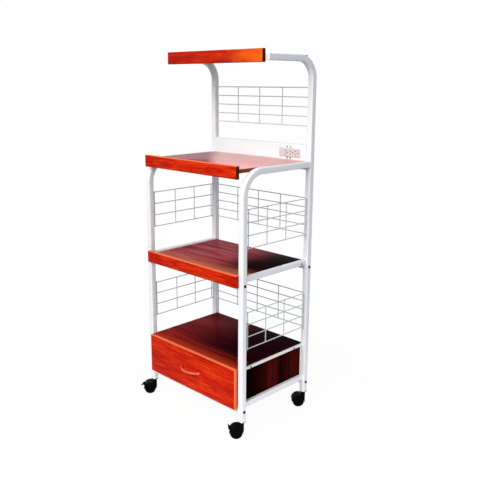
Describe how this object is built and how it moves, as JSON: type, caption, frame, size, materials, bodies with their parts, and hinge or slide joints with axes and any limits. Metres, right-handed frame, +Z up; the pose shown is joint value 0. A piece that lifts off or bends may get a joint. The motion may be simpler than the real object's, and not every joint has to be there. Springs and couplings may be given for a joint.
{
  "type": "kitchen cart",
  "caption": "Tall kitchen cart on swivel casters: bent white tube frame, cherry shelves with front trims, wire grids, power panel with outlet strip, and a drawer under the lowest shelf.",
  "frame": {"origin": "on the floor, under the middle of the overall box with the casters turned as in the picture", "axes": "X to the cart's right seen from the front, Y from the front to the back, Z up"},
  "size_m": [0.627, 0.4624, 1.508],
  "materials": {
    "white_steel": "satin white powder coat",
    "cherry_front": "glossy orange-red cherry grain",
    "cherry_board": "glossy dark cherry grain",
    "plain_board": "plain board",
    "white_plastic": "white moulded plastic",
    "black_nylon": "black moulded nylon",
    "black_steel": "blackened steel",
    "zinc_steel": "zinc plate"
  },
  "bodies": {
    "frame": {"arm_end_caps": "white_plastic", "bottom_front_crossbar": "white_steel", "bottom_rear_crossbar": "white_steel", "cabinet_back": "plain_board", "cabinet_floor": "plain_board", "cabinet_left_side": "cherry_board", "cabinet_right_side": "cherry_board", "frame_bolts": "black_steel", "left_bottom_rail": "white_steel", "left_cabinet_strip": "white_steel", "left_front_leg": "white_steel", "left_lower_side_grid": "white_steel", "left_middle_rail": "white_steel", "left_middle_side_grid": "white_steel", "left_rear_post": "white_steel", "left_runner": "white_plastic", "leg_sockets": "black_nylon", "lower_back_grid": "white_steel", "lower_shelf_board": "cherry_board", "middle_back_grid": "white_steel", "middle_front_crossbar": "white_steel", "middle_rear_crossbar": "white_steel", "middle_shelf_board": "cherry_board", "middle_shelf_trim": "cherry_front", "outlet_screws": "black_steel", "outlet_strip": "white_plastic", "power_panel": "white_steel", "rail_screws": "black_steel", "right_bottom_rail": "white_steel", "right_cabinet_strip": "white_steel", "right_front_leg": "white_steel", "right_lower_side_grid": "white_steel", "right_middle_rail": "white_steel", "right_middle_side_grid": "white_steel", "right_rear_post": "white_steel", "right_runner": "white_plastic", "tab_screws": "zinc_steel", "top_shelf_board": "cherry_board", "top_shelf_trim": "cherry_front", "upper_back_grid": "white_steel", "worktop_board": "cherry_board", "worktop_trim": "cherry_front"},
    "drawer": {"drawer_front": "cherry_front", "drawer_left_side": "plain_board", "drawer_right_side": "plain_board", "drawer_back": "plain_board", "drawer_floor": "plain_board", "drawer_handle": "cherry_front", "handle_screws": "zinc_steel"},
    "front_right_caster": {"front_right_caster": "black_nylon"},
    "front_right_wheels": {"front_right_wheels": "black_nylon"},
    "front_right_brake": {"front_right_brake": "black_nylon"},
    "front_left_caster": {"front_left_caster": "black_nylon"},
    "front_left_wheels": {"front_left_wheels": "black_nylon"},
    "front_left_brake": {"front_left_brake": "black_nylon"},
    "rear_right_caster": {"rear_right_caster": "black_nylon"},
    "rear_right_wheels": {"rear_right_wheels": "black_nylon"},
    "rear_left_caster": {"rear_left_caster": "black_nylon"},
    "rear_left_wheels": {"rear_left_wheels": "black_nylon"}
  },
  "joints": [
    {"name": "drawer_slide", "type": "slide", "parent": "frame", "child": "drawer", "axis": [0, -1, 0], "range_m": [0, 0.3]},
    {"name": "front_right_swivel", "type": "hinge", "parent": "frame", "child": "front_right_caster", "pos_m": [0.29319, -0.17513, 0.065], "axis": [0, 0, 1], "continuous": true},
    {"name": "front_right_roll", "type": "hinge", "parent": "front_right_caster", "child": "front_right_wheels", "pos_m": [0.27763, -0.19069, 0.025], "axis": [0.7071, -0.7071, 0], "continuous": true},
    {"name": "front_right_brake_press", "type": "hinge", "parent": "front_right_caster", "child": "front_right_brake", "pos_m": [0.25773, -0.21059, 0.04125], "axis": [-0.7071, 0.7071, 0], "range_deg": [-95, 0]},
    {"name": "front_left_swivel", "type": "hinge", "parent": "frame", "child": "front_left_caster", "pos_m": [-0.26421, -0.17513, 0.065], "axis": [0, 0, 1], "continuous": true},
    {"name": "front_left_roll", "type": "hinge", "parent": "front_left_caster", "child": "front_left_wheels", "pos_m": [-0.27835, -0.19198, 0.025], "axis": [0.766, -0.6428, 0], "continuous": true},
    {"name": "front_left_brake_press", "type": "hinge", "parent": "front_left_caster", "child": "front_left_brake", "pos_m": [-0.29644, -0.21354, 0.04125], "axis": [-0.766, 0.6428, 0], "range_deg": [0, 95]},
    {"name": "rear_right_swivel", "type": "hinge", "parent": "frame", "child": "rear_right_caster", "pos_m": [0.29319, 0.21127, 0.065], "axis": [0, 0, 1], "continuous": true},
    {"name": "rear_right_roll", "type": "hinge", "parent": "rear_right_caster", "child": "rear_right_wheels", "pos_m": [0.27791, 0.19545, 0.025], "axis": [0.7193, -0.6947, 0], "continuous": true},
    {"name": "rear_left_swivel", "type": "hinge", "parent": "frame", "child": "rear_left_caster", "pos_m": [-0.26421, 0.21127, 0.065], "axis": [0, 0, 1], "continuous": true},
    {"name": "rear_left_roll", "type": "hinge", "parent": "rear_left_caster", "child": "rear_left_wheels", "pos_m": [-0.27173, 0.1906, 0.025], "axis": [0.9397, -0.342, 0], "continuous": true}
  ]
}
